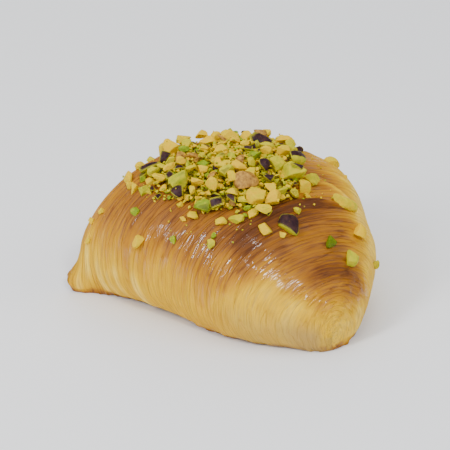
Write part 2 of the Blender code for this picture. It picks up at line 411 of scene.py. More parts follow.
def seam_rows(shell):
    """Rows that close the pinched end: the last ring's outline draws in to its middle line, with pressed grooves."""
    last = shell.points[-1]
    x, z = last[:, 0], last[:, 2]
    right, left = int(x.argmax()), int(x.argmin())
    top = np.interp(x, x[right : left + 1][::-1], z[right : left + 1][::-1])
    under = np.interp(x, np.r_[x[left:], x[1 : right + 1]], np.r_[z[left:], z[1 : right + 1]])
    middle = (top + under) / 2
    rows = []
    for share in np.linspace(1, SEAM_SLIT, SEAM_ROWS + 1)[1:]:
        row = last.copy()
        row[:, 2] = middle + (z - middle) * share
        wave = 0.5 - 0.5 * math.cos(2 * math.pi * 2 * share)
        ends = smoothstep(0.5 * MM, 4 * MM, top - under)
        wander = 0.7 + 0.3 * drift(x / (6 * MM), row[:, 2] / (1.5 * MM), 51)
        row[:, 1] -= SEAM_GROOVE * wave * ends * wander
        rows.append(row)
    return np.array(rows)


def crust_mesh(shell):
    """A closed mesh: the shell's grid, the seam, and the flat base and the seam's slit as one face each."""
    seam = seam_rows(shell)
    grid = np.concatenate([shell.points, seam])
    rows, columns = grid.shape[:2]
    index = np.arange(rows * columns).reshape(rows, columns)
    closed = np.abs(grid[:, 0] - grid[:, -1]).max(axis=1) < 0.5 * MM  # these rings hang clear of the ground
    index[closed, -1] = index[closed, 0]
    index[0, :] = index[0, 0]
    near, far = index[:-1], index[1:]
    quads = np.stack([near[:, :-1], near[:, 1:], far[:, 1:], far[:, :-1]], axis=-1).reshape(-1, 4)
    faces = [list(dict.fromkeys(quad)) for quad in quads.tolist()]
    faces = [face for face in faces if len(face) > 2]
    standing = np.flatnonzero(~closed)
    first, final = standing[0] - 1, standing[-1] + 1
    base = [*index[first : final + 1, 0], *index[first + 1 : final, -1][::-1]]
    faces.append([int(k) for k in base][::-1])
    faces.append(index[-1, :-1].tolist())
    mesh = bpy.data.meshes.new("crust")
    mesh.from_pydata(grid.reshape(-1, 3).tolist(), [], faces)
    repeat = [(0, SEAM_ROWS)] + [(0, 0)]
    for name in ("bake", "glaze", "fused"):
        values = np.pad(getattr(shell, name), repeat, mode="edge")
        add_values(mesh, name, values)
    grain = np.stack([shell.layer, shell.around, np.zeros_like(shell.layer)], axis=-1)
    grain = np.concatenate([grain, np.repeat(grain[-1:], SEAM_ROWS, axis=0)])
    grain[-SEAM_ROWS:, :, 0] += np.abs(shell.points[-1, :, 2] - seam[..., 2])
    attribute = mesh.attributes.new("grain", "FLOAT_VECTOR", "POINT")
    attribute.data.foreach_set("vector", grain.ravel().astype(np.float32))
    return clean(mesh)


def add_values(mesh, name, values):
    attribute = mesh.attributes.new(name, "FLOAT", "POINT")
    attribute.data.foreach_set("value", np.asarray(values, np.float32).ravel())


def clean(mesh):
    """The mesh without loose points, with its faces pointing out, and shaded smooth."""
    bm = bmesh.new()
    bm.from_mesh(mesh)
    bmesh.ops.delete(bm, geom=[vert for vert in bm.verts if not vert.link_faces], context="VERTS")
    bmesh.ops.recalc_face_normals(bm, faces=bm.faces)
    bm.to_mesh(mesh)
    bm.free()
    mesh.shade_smooth()
    return mesh


def add_piece(name, mesh, material, replaced):
    piece = bpy.data.objects.new(name, mesh)
    bpy.context.scene.collection.objects.link(piece)
    mesh.materials.append(material)
    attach(piece, "root")
    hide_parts(replaced)
    return piece


# ---------------------------------------------------------------- materials


class Nodes:
    """A short way to build a material's nodes."""

    def __init__(self, name):
        self.material = bpy.data.materials.new(name)
        self.material.use_nodes = True
        self.tree = self.material.node_tree
        self.shader = self.tree.nodes["Principled BSDF"]

    def link(self, value, socket):
        if isinstance(value, (int, float)):
            socket.default_value = value
        else:
            self.tree.links.new(value, socket)

    def math(self, operation, *values, clamp=False):
        node = self.tree.nodes.new("ShaderNodeMath")
        node.operation = operation
        node.use_clamp = clamp
        for value, socket in zip(values, node.inputs):
            self.link(value, socket)
        return node.outputs[0]

    def attribute(self, name, output="Fac"):
        node = self.tree.nodes.new("ShaderNodeAttribute")
        node.attribute_name = name
        return node.outputs[output]

    def scaled(self, vector, scale):
        node = self.tree.nodes.new("ShaderNodeVectorMath")
        node.operation = "MULTIPLY"
        self.tree.links.new(vector, node.inputs[0])
        node.inputs[1].default_value = scale
        return node.outputs[0]

    def place(self):
        return self.tree.nodes.new("ShaderNodeTexCoord").outputs["Object"]

    def noise(self, vector, scale=1.0, detail=2.0, roughness=0.5):
        node = self.tree.nodes.new("ShaderNodeTexNoise")
        self.tree.links.new(vector, node.inputs["Vector"])
        node.inputs["Scale"].default_value = scale
        node.inputs["Detail"].default_value = detail
        node.inputs["Roughness"].default_value = roughness
        return node.outputs["Fac"]

    def span(self, value, low, high, to_low=0.0, to_high=1.0):
        node = self.tree.nodes.new("ShaderNodeMapRange")
        self.link(value, node.inputs["Value"])
        for name, number in zip(("From Min", "From Max", "To Min", "To Max"), (low, high, to_low, to_high)):
            node.inputs[name].default_value = number
        return node.outputs["Result"]

    def ramp(self, value, stops):
        node = self.tree.nodes.new("ShaderNodeValToRGB")
        self.link(value, node.inputs["Fac"])
        elements = node.color_ramp.elements
        for (place, colour), element in zip(stops[:2], elements):
            element.position, element.color = place, (*colour, 1)
        for place, colour in stops[2:]:
            elements.new(place).color = (*colour, 1)
        return node.outputs["Color"]

    def times(self, colour, value):
        """A colour made lighter or darker by a value."""
        node = self.tree.nodes.new("ShaderNodeVectorMath")
        node.operation = "MULTIPLY"
        self.tree.links.new(colour, node.inputs[0])
        self.tree.links.new(value, node.inputs[1])
        return node.outputs[0]

    def mix(self, share, first, second):
        node = self.tree.nodes.new("ShaderNodeMix")
        node.data_type = "RGBA"
        self.link(share, node.inputs["Factor"])
        for value, socket in ((first, node.inputs["A"]), (second, node.inputs["B"])):
            if isinstance(value, tuple):
                socket.default_value = (*value, 1)
            else:
                self.tree.links.new(value, socket)
        return node.outputs["Result"]

    def bump(self, height, distance, coat=0.0):
        """Fine relief on the surface, and a share of it on its coat."""
        for name, size in (("Normal", distance), ("Coat Normal", distance * coat)):
            if size:
                node = self.tree.nodes.new("ShaderNodeBump")
                node.inputs["Distance"].default_value = size
                self.tree.links.new(height, node.inputs["Height"])
                self.tree.links.new(node.outputs["Normal"], self.shader.inputs[name])

    def set(self, **values):
        for name, value in values.items():
            socket = self.shader.inputs[name.replace("_", " ")]
            if isinstance(value, tuple):
                socket.default_value = value
            else:
                self.link(value, socket)


CRUST_COLOURS = (
    (0.00, (0.92, 0.64, 0.10)),
    (1.00, (0.10, 0.032, 0.010)),
    (0.12, (0.79, 0.475, 0.006)),
    (0.28, (0.64, 0.335, 0.003)),
    (0.44, (0.51, 0.228, 0.010)),
    (0.62, (0.355, 0.142, 0.018)),
    (0.80, (0.20, 0.070, 0.014)),
)
FUSED_COLOUR = (0.45, 0.285, 0.085)


def crust_material():
    n = Nodes("glazed_crust")
    grain = n.attribute("grain", "Vector")
    per_metre = 1 / MM
    streaks = n.noise(n.scaled(grain, (0.9 * per_metre, 0.040 * per_metre, 1)), detail=3, roughness=0.65)
    hairs = n.noise(n.scaled(grain, (1.7 * per_metre, 0.055 * per_metre, 1)), detail=2, roughness=0.6)
    bands = n.noise(n.scaled(grain, (0.42 * per_metre, 0.022 * per_metre, 1)), detail=1)
    edges = n.span(n.math("ABSOLUTE", n.math("SUBTRACT", bands, 0.5)), 0.0, 0.035, 1.0, 0.0)
    blotches = n.noise(n.place(), scale=0.16 * per_metre, detail=3)
    drops = n.noise(n.place(), scale=0.30 * per_metre, detail=2)
    bake = n.attribute("bake")
    depth = n.span(bake, 0.05, 0.5, 0.20, 0.80)
    shift = n.math("MULTIPLY", n.math("SUBTRACT", streaks, 0.5), depth)
    fine = n.math("MULTIPLY", n.math("SUBTRACT", hairs, 0.5), n.math("MULTIPLY", depth, 1.3))
    fine = n.math("ADD", fine, n.math("MULTIPLY", n.math("MULTIPLY", edges, depth), 0.22))
    patch = n.math("MULTIPLY", n.math("SUBTRACT", blotches, 0.5), 0.16)
    total = n.math("ADD", n.math("ADD", bake, shift), n.math("ADD", fine, patch), clamp=True)
    fused = n.attribute("fused")
    colour = n.mix(n.math("MULTIPLY", fused, 0.85), n.ramp(total, CRUST_COLOURS), FUSED_COLOUR)
    smoothed = n.math("MULTIPLY", fused, 0.7)
    for pattern, low, high in ((hairs, (0.74, 0.645, 0.47), (1.17, 1.20, 1.26)), (streaks, (0.88, 0.84, 0.76), (1.06, 1.08, 1.10))):
        colour = n.mix(smoothed, n.times(colour, n.mix(n.span(pattern, 0.35, 0.65), low, high)), colour)
    glaze = n.attribute("glaze")
    rough = n.math("ADD", n.span(glaze, 0, 1, 0.62, 0.48), n.math("MULTIPLY", n.math("SUBTRACT", hairs, 0.5), 0.25))
    relief = n.math("ADD", n.math("MULTIPLY", streaks, 0.45), n.math("MULTIPLY", hairs, 0.55))
    relief = n.math("SUBTRACT", relief, n.math("MULTIPLY", edges, 0.25))
    n.bump(relief, 0.55 * MM, coat=0.28)
    lines = n.math("ADD", n.math("MULTIPLY", streaks, 0.5), n.math("MULTIPLY", hairs, 0.5))
    coat = n.math("MULTIPLY", n.math("MULTIPLY", glaze, n.span(lines, 0.49, 0.55)), n.span(drops, 0.39, 0.50))
    n.set(Base_Color=colour, Roughness=rough, Coat_Weight=coat, Specular_IOR_Level=0.15)
    n.set(Coat_Roughness=0.07, Coat_IOR=1.7, Subsurface_Weight=0.10, Subsurface_Radius=(1.0, 0.5, 0.2), Subsurface_Scale=1.5 * MM)
    return n.material


# ---------------------------------------------------------------- nuts


class Nut(NamedTuple):
    """A piece that lies by itself on the crust, placed by its ring and its degrees round it."""

    ring: float
    degrees: float
    kind: str
    size: float
    turn: float = 0.0  # degrees about the crust's normal, 0 along the ring
    slim: float = 0.75  # its width as a share of its length
    flat: float = 0.6  # its height as a share of its length
    seed: int = 0


LOOSE_NUTS = (
    Nut(0.743, 146, "green", 3.0 * MM),
    Nut(0.687, 165, "yellow", 4.7 * MM, turn=10, slim=0.72),
    Nut(0.610, 153, "green", 2.5 * MM),
    Nut(0.530, 136, "green", 2.2 * MM),
    Nut(0.518, 142, "lime", 3.3 * MM, turn=70),
    Nut(0.428, 98, "half", 7.0 * MM, turn=60, slim=0.80, flat=0.5),
    Nut(0.450, 110, "yellow", 4.0 * MM, turn=80, slim=0.55),
    Nut(0.408, 103, "yellow", 2.4 * MM, turn=80, slim=0.5),
    Nut(0.468, 90, "lime", 2.6 * MM, turn=10),
    Nut(0.474, 57, "sliver", 9.8 * MM, turn=-14, slim=0.26, flat=0.30),
    Nut(0.340, 77, "deep", 4.2 * MM, turn=25, slim=0.55),
    Nut(0.292, 58, "lime", 5.6 * MM, turn=50, slim=0.52, flat=0.45, seed=1),
    Nut(0.392, 46, "cream", 5.6 * MM, turn=80, slim=0.65, flat=0.6),
    Nut(0.343, 14, "lime", 3.0 * MM),
    Nut(0.705, 38, "yellow", 6.2 * MM, turn=5, slim=0.75, flat=0.48, seed=1),
    Nut(0.623, 39, "yellow", 1.6 * MM),
    Nut(0.860, 150, "yellow", 2.3 * MM),
    Nut(0.880, 157, "cream", 2.6 * MM),
    Nut(0.865, 170, "yellow", 2.3 * MM),
    Nut(0.863, 127, "yellow", 4.2 * MM),
    Nut(0.838, 131, "yellow", 3.4 * MM, turn=40),
    Nut(0.833, 122, "lime", 3.4 * MM),
    Nut(0.815, 126, "green", 3.0 * MM, turn=15),
    Nut(0.800, 121, "lime", 4.0 * MM, turn=60),
    Nut(0.780, 127, "yellow", 3.2 * MM),
    Nut(0.880, 119, "yellow", 3.0 * MM, turn=50),
    Nut(0.885, 104, "yellow", 6.4 * MM, turn=20),
    Nut(0.800, 134, "yellow", 3.4 * MM, turn=10),
    Nut(0.770, 134, "lime", 3.6 * MM, turn=70),
    Nut(0.890, 96, "lime", 3.6 * MM),
    Nut(0.870, 90, "yellow", 4.4 * MM, turn=70),
    Nut(0.900, 110, "lime", 2.6 * MM),
    Nut(0.755, 131, "lime", 2.6 * MM, turn=30),
    Nut(0.720, 132, "skin", 2.8 * MM, turn=30),
    Nut(0.608, 134, "yellow", 3.6 * MM, turn=70, slim=0.5),
    Nut(0.655, 132, "yellow", 2.4 * MM),
    Nut(0.620, 138, "cream", 2.4 * MM, turn=80, slim=0.5),
    Nut(0.545, 126, "yellow", 3.9 * MM, turn=60),
    Nut(0.527, 119, "lime", 4.6 * MM, turn=10),
    Nut(0.510, 110, "yellow", 3.6 * MM, turn=20, slim=0.5),
    Nut(0.593, 124, "lime", 3.4 * MM),
    Nut(0.495, 103, "skin", 2.6 * MM),
    Nut(0.550, 78, "yellow", 4.4 * MM),
    Nut(0.570, 73, "lime", 4.8 * MM, turn=20),
    Nut(0.522, 78, "yellow", 2.7 * MM),
)


class Chunk(NamedTuple):
    """A large piece on top of the heap, placed from the heap's middle."""

    x: float  # mm
    y: float
    kind: str
    size: float  # mm
    turn: float = 0.0  # degrees from the heap's long diagonal, which runs to the front right
    slim: float = 0.75
    flat: float = 0.55
    tilt: float = 0.0  # degrees its flat side is turned to the front left


CHUNKS = (
    Chunk(-23.5, 16.0, "skin", 7.0, turn=8, slim=0.26, flat=0.22),
    Chunk(-12.0, 18.5, "amber", 7.2, slim=0.70, tilt=30),
    Chunk(-17.0, 15.5, "skin", 4.2, slim=0.70, tilt=45),
    Chunk(-7.0, 18.0, "lime", 3.8, turn=30),
    Chunk(0.0, 15.5, "amber", 5.4, turn=60, tilt=25),
    Chunk(8.5, 16.5, "yellow", 6.2, turn=20, tilt=40),
    Chunk(14.0, 13.0, "amber", 4.0, tilt=30),
    Chunk(16.5, 8.5, "skin", 8.8, turn=-28, slim=0.32, flat=0.30, tilt=35),
    Chunk(18.0, 10.5, "tan", 5.0, turn=70, tilt=60),
    Chunk(19.0, 2.0, "skin", 4.6, turn=-20, slim=0.36, flat=0.30),
    Chunk(6.5, -2.0, "green", 5.2, slim=0.60),
    Chunk(-4.0, 2.5, "lime", 5.0, turn=10, slim=0.60),
    Chunk(9.5, -9.0, "lime", 5.8, turn=-20, tilt=25),
    Chunk(18.5, -9.0, "half", 7.0, turn=38, slim=0.50, tilt=-35),
    Chunk(13.5, -16.0, "lime", 8.4, turn=-8, slim=0.42, tilt=10),
    Chunk(13.0, -18.0, "skin", 4.6, turn=-8, slim=0.40),
    Chunk(-2.5, -7.0, "amber", 5.0, turn=-50, slim=0.60),
    Chunk(-21.0, 0.0, "olive", 9.0, turn=56, slim=0.42, flat=0.25, tilt=35),
    Chunk(-23.0, -3.5, "skin", 4.4, turn=20),
    Chunk(-5.5, -14.0, "tan", 7.4, turn=35, slim=0.62, tilt=40),
    Chunk(-5.0, -20.5, "yellow", 6.2, turn=-10, slim=0.68),
    Chunk(0.5, -23.5, "amber", 5.6, turn=55, slim=0.55),
    Chunk(-19.5, -12.5, "green", 5.8, turn=15, slim=0.62, tilt=20),
    Chunk(-16.0, -15.0, "skin", 4.8, turn=-60, slim=0.60, tilt=25),
    Chunk(-11.0, -17.0, "skin", 4.0, turn=-30, slim=0.50),
    Chunk(5.0, -21.0, "lime", 4.0),
    Chunk(2.0, -19.0, "yellow", 4.0),
    Chunk(-17.0, -4.0, "amber", 4.2),
    Chunk(-14.0, -9.0, "yellow", 5.0, turn=-45, slim=0.40),
    Chunk(-8.0, -11.0, "yellow", 4.2, turn=80),
    Chunk(-24.0, 11.0, "lime", 3.8, turn=70, slim=0.50, flat=0.40),
    Chunk(-24.0, 7.0, "yellow", 4.6),
    Chunk(-22.0, 4.0, "skin", 3.8, turn=60, slim=0.60),
    Chunk(-17.0, 5.5, "skin", 3.6, slim=0.40),
    Chunk(-14.0, 11.0, "tan", 5.0, turn=30, tilt=20),
    Chunk(17.5, -4.5, "yellow", 4.4),
    Chunk(12.0, -1.0, "yellow", 4.0, turn=80),
    Chunk(6.5, 1.5, "skin", 3.2),
    Chunk(23.5, 1.5, "lime", 3.8, turn=60),
    Chunk(-7.0, -7.5, "lime", 5.4, turn=25, slim=0.62),
    Chunk(3.5, -15.0, "skin", 4.0, slim=0.70),
    Chunk(0.0, 7.0, "yellow", 5.4, turn=20),
    Chunk(-11.0, 2.0, "green", 3.6, turn=80),
)
NUT_TINTS = {"amber": 0.0, "olive": 0.48, "sliver": 0.22, "half": 0.45, "yellow": 0.10, "cream": 0.0, "lime": 0.38, "green": 0.68, "deep": 1.0, "skin": 0.45, "tan": 0.1}
HEAP_MIX = (("yellow", 0.42), ("lime", 0.27), ("green", 0.14), ("cream", 0.03), ("skin", 0.10), ("tan", 0.04))


def balls():
    """Unit balls of 80, 320 and 1280 triangles, as points and faces."""
    made = {}
    for level in (1, 2, 3):
        bm = bmesh.new()
        bmesh.ops.create_icosphere(bm, subdivisions=level + 1, radius=1)
        points = np.array([vert.co for vert in bm.verts])
        faces = np.array([[vert.index for vert in face.verts] for face in bm.faces])
        made[level] = (points, faces)
        bm.free()
    return made


def random_direction(rng):
    vector = rng.normal(size=3)
    return vector / np.linalg.norm(vector)


def solid_noise(points, seed):
    """Smooth noise over three coordinates, put together from three flat ones."""
    x, y, z = points.T + 100
    return (drift(x, y, seed) + drift(y + 31, z, seed + 1) + drift(z + 57, x + 13, seed + 2)) / 1.7


class Pieces:
    """Nuts of one kind, gathered for one mesh."""

    def __init__(self):
        self.points, self.faces, self.tint, self.skin = [], [], [], []
        self.count = 0

    def add(self, points, faces, tint, skin):
        self.faces.append(faces + self.count)
        self.count += len(points)
        self.points.append(points)
        self.tint.append(np.full(len(points), tint))
        self.skin.append(skin)

    def mesh(self, name):
        mesh = bpy.data.meshes.new(name)
        points, faces = np.concatenate(self.points), np.concatenate(self.faces)
        mesh.from_pydata(points.tolist(), [], faces.tolist())
        add_values(mesh, "tint", np.concatenate(self.tint))
        add_values(mesh, "skin", np.concatenate(self.skin))
        mesh.shade_smooth()
        return mesh


def chopped(rng, ball, size, kind, slim=None, flat=None):
    """Points of a chopped piece that lies flat along x, and where its skin is left."""
    points = ball.copy()
    slim = rng.uniform(0.62, 0.95) if slim is None else slim
    flat = rng.uniform(0.45, 0.8) if flat is None else flat
    if kind == "tan" or (kind == "skin" and size < 4 * MM):
        flat = rng.uniform(0.16, 0.3)
    radii = np.array([1.0, slim, flat])
    points = points * radii
    points = points * (1 + 0.16 * solid_noise(points * 1.6 + rng.uniform(0, 50, 3), 61)[:, None])
    skin_side = random_direction(rng)
    skin_side[2] = abs(skin_side[2]) + (1.5 if kind in ("skin", "half") else 0.2)
    skin_side /= np.linalg.norm(skin_side)
    uncut = np.ones(len(points))
    for _ in range({"half": 3, "sliver": 2}.get(kind) or rng.integers(7, 12)):
        normal = random_direction(rng)
        if kind in ("skin", "half") and normal @ skin_side > 0.2:
            continue
        depth = np.linalg.norm(normal * radii) * rng.uniform(0.34, 0.76)
        over = points @ normal - depth
        points = points - np.outer((over + np.sqrt(over**2 + 0.02**2)) / 2, normal)
        uncut *= 1 - smoothstep(-0.12, 0.02, over)
    points = points * (1 + 0.05 * solid_noise(points * 5 + rng.uniform(0, 50, 3), 64)[:, None])
    if kind == "sliver":
        points[:, 1] -= 0.16 * points[:, 0] ** 2
    if kind in ("skin", "tan"):
        points[:, 2] += 0.25 * rng.uniform(-1, 1) * points[:, 0] ** 2 * radii[2] * 2
    facing = (ball @ skin_side) > (0.0 if kind in ("skin", "half") else 0.45)
    share = {"skin": 1.0, "half": 1.0, "amber": 0.0, "olive": 1.0, "yellow": 0.15, "cream": 0.3, "lime": 0.4, "green": 0.4, "deep": 0.5, "sliver": 0.0, "tan": 0.0}[kind]
    skin = uncut * facing * (rng.uniform() < share) * (1.0 if kind in ("skin", "half") else rng.uniform(0.4, 1))
    return points * (size / np.ptp(points, axis=0).max()), skin


def turned(points, normal, turn, along):
    """Points laid on a surface with that normal, with x turned from the direction along it."""
    normal = normal / np.linalg.norm(normal)
    along = along - normal * (along @ normal)
    along /= np.linalg.norm(along)
    side = np.cross(normal, along)
    c, s = math.cos(turn), math.sin(turn)
    return points @ np.array([along * c + side * s, side * c - along * s, normal])


class Place(NamedTuple):
    point: np.ndarray
    normal: np.ndarray
    along: np.ndarray


def on_shell(shell, ring, degrees):
    """The crust's surface at a ring share and an angle round it."""
    row = np.interp(ring, even_rings(RINGS), np.arange(RINGS))
    foot = float(foot_angle(np.array([ring]))[0])
    column = (math.radians(degrees) - foot) / (math.pi - 2 * foot) * (COLUMNS - 1)
    i, j = int(np.clip(row, 1, RINGS - 2)), int(np.clip(column, 1, COLUMNS - 2))
    along = shell.points[i, j + 1] - shell.points[i, j - 1]
    patch = shell.normals[max(i - 3, 0) : i + 4, max(j - 2, 0) : j + 3].reshape(-1, 3).mean(axis=0)
    return Place(shell.points[i, j], patch / np.linalg.norm(patch), along)


class Ground:
    """A height map of what the nuts land on, and of how high they may pile."""

    def __init__(self, crust, solid):
        self.cell = 0.35 * MM
        low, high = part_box("chopped_pistachios")
        self.low = np.array(low)[:2]
        size = ((np.array(high)[:2] - self.low) / self.cell).astype(int) + 1
        self.height = np.zeros(size)
        self.limit = np.full(size, -1.0)
        self.top = high.z
        down = Vector((0, 0, -1))
        for i in range(size[0]):
            for j in range(size[1]):
                start = Vector((*(self.low + self.cell * (np.array([i, j]) + 0.5)), 1))
                below, above = crust.ray_cast(start, down)[0], solid.ray_cast(start, down)[0]
                if below:
                    self.height[i, j] = below.z
                if above:
                    self.limit[i, j] = above.z
        self.crust = self.height.copy()

    def cells(self, points):
        index = ((points[:, :2] - self.low) / self.cell).astype(int)
        inside = ((index >= 0) & (index < self.height.shape)).all(axis=1)
        return index[inside].T, inside

    def fall(self, points):
        """The points let down until one of them touches."""
        (i, j), inside = self.cells(points)
        if not inside.any():
            return points
        return points - [0, 0, np.percentile(points[inside, 2] - self.height[i, j], 7)]

    def hollow(self, x, y, rng):
        """The lowest of a few places near by, as a crumb rolls off the peaks."""
        tries = np.array([x, y]) + rng.uniform(-1.2, 1.2, (8, 2)) * MM
        (i, j), inside = self.cells(np.column_stack([tries, np.zeros(8)]))
        if not inside.any():
            return x, y
        return tries[inside][np.argmin(self.height[i, j] - self.crust[i, j])]

    def stamp(self, points, keep_clear=False):
        (i, j), inside = self.cells(points)
        np.maximum.at(self.height, (i, j), points[inside, 2])
        if keep_clear:
            self.height[i, j] = np.maximum(self.height[i, j], self.limit[i, j])

    def slope(self, x, y):
        """The crust's normal there, over a few cells."""
        i, j = np.clip(((np.array([x, y]) - self.low) / self.cell).astype(int), 4, np.array(self.crust.shape) - 5)
        across = (self.crust[i + 4, j] - self.crust[i - 4, j]) / (8 * self.cell)
        along = (self.crust[i, j + 4] - self.crust[i, j - 4]) / (8 * self.cell)
        normal = np.array([-across, -along, 1])
        return normal / np.linalg.norm(normal)


def heap_outline(bearing):
    return 1 + 0.09 * np.sin(3 * bearing) + 0.03 * np.sin(7 * bearing + 1) + 0.02 * np.sin(13 * bearing)


def core_mesh(ground):
    """A lumpy bed of crumbs under the heap, sunk into the crust at its edge. Its dark colour is painted shade in the
    gaps between the nuts.
    """
    shares = np.linspace(0, 1, 71)[1:, None]
    bearing = np.linspace(0, 2 * math.pi, 241)[None, :-1]
    outline = heap_outline(bearing) * 0.90
    x = NOSE_FRAME[0] + HEAP_MIDDLE[0] + HEAP_HALF_SIZES[0] * outline * shares * np.cos(bearing)
    y = NOSE_FRAME[1] + HEAP_MIDDLE[1] + HEAP_HALF_SIZES[1] * outline * shares * np.sin(bearing)
    i = np.clip(((x - ground.low[0]) / ground.cell).astype(int), 0, ground.crust.shape[0] - 1)
    j = np.clip(((y - ground.low[1]) / ground.cell).astype(int), 0, ground.crust.shape[1] - 1)
    crust, limit = ground.crust[i, j], np.maximum(ground.limit[i, j], ground.crust[i, j])
    lumps = 0.7 * drift(x / (2.2 * MM), y / (2.2 * MM), 71) + 0.45 * drift(x / (0.9 * MM), y / (0.9 * MM), 72)
    z = crust + 0.12 * (limit - crust) - 0.1 * MM + lumps * MM * 0.5
    z = z + (crust - 1.6 * MM - z) * smoothstep(0.88, 1, shares)
    z = np.minimum(z, limit - 0.5 * MM)
    rows = np.stack([x, y, z], axis=-1)
    below = rows[-1:].copy()
    below[..., 2] -= 0.5 * MM
    rows = np.concatenate([rows, below])
    points = rows.reshape(-1, 3)
    count = rows.shape[1]
    middle = [points[:count, 0].mean(), points[:count, 1].mean()]
    points = np.concatenate([points, [[*middle, points[:count, 2].mean()], [*middle, below[..., 2].min()]]])
    index = np.arange(rows.shape[0] * count).reshape(rows.shape[:2])
    near, far = index[:-1], index[1:]
    quads = np.stack([near, far, np.roll(far, -1, 1), np.roll(near, -1, 1)], axis=-1).reshape(-1, 4)
    faces = quads.tolist()
    faces += [[len(points) - 2, int(a), int(b)] for a, b in zip(index[0], np.roll(index[0], -1))]
    faces += [[len(points) - 1, int(b), int(a)] for a, b in zip(index[-1], np.roll(index[-1], -1))]
    mesh = bpy.data.meshes.new("crumb_and_shade_bed")
    mesh.from_pydata(points.tolist(), [], faces)
    add_values(mesh, "tint", 0.35 + 0.25 * drift(points[:, 0] / (2 * MM), points[:, 1] / (2 * MM), 73))
    add_values(mesh, "skin", np.zeros(len(points)))
    return clean(mesh)


def pick(rng, mix):
    names, shares = zip(*mix)
    return names[int(np.searchsorted(np.cumsum(shares) / sum(shares), rng.uniform()))]


def scatter(rng, ground, ball, kinds, home, count, low, high, fill):
    """Random pieces of one range of sizes, first where the heap is lowest, up to a share of its height."""
    for _ in range(count):
        kind = pick(rng, HEAP_MIX)
        size = rng.uniform(low, high) * (1.2 if kind == "skin" else 1)
        level = 3 if size > 2.7 * MM else 2 if size > 1.6 * MM else 1
        top = ground.crust + fill * (ground.limit - ground.crust)
        room = top - ground.height
        if fill < 1:
            spots = np.argwhere((ground.limit > 0) & (ground.height <= ground.bed + 0.1 * MM))
        else:
            spots = np.argwhere((ground.limit > 0) & (room > 0.1 * low))
        if len(spots) < 40:
            break
        tries = spots[rng.integers(len(spots), size=6)]
        i, j = tries[np.argmax(room[tries[:, 0], tries[:, 1]])]
        x, y = ground.low + ground.cell * (np.array([i, j]) + rng.uniform(0, 1, 2))
        points, skin = chopped(rng, ball[level][0], size, kind)
        lean = 0.9 if kind in ("skin", "tan") else 0.6
        normal = ground.slope(x, y) + lean * rng.uniform(-1, 1, 3)
        points = turned(points, normal, rng.uniform(0, 2 * math.pi), np.array([1.0, 0.3, 0.1]))
        points = ground.fall(points + [x, y, ground.top + 5 * MM])
        thick = ground.limit[i, j] - ground.crust[i, j]
        spare = (1.7 + 1.5 * (1 - smoothstep(0.5 * MM, 3.5 * MM, thick))) * MM
        if points[:, 2].max() > min(top[i, j] + spare, ground.top):
            continue
        tint = NUT_TINTS[kind] + rng.uniform(-0.12, 0.12)
        kinds["crumbs" if level == 1 else home.get(kind, kind)].add(points, ball[level][1], tint, skin)
        ground.stamp(points)


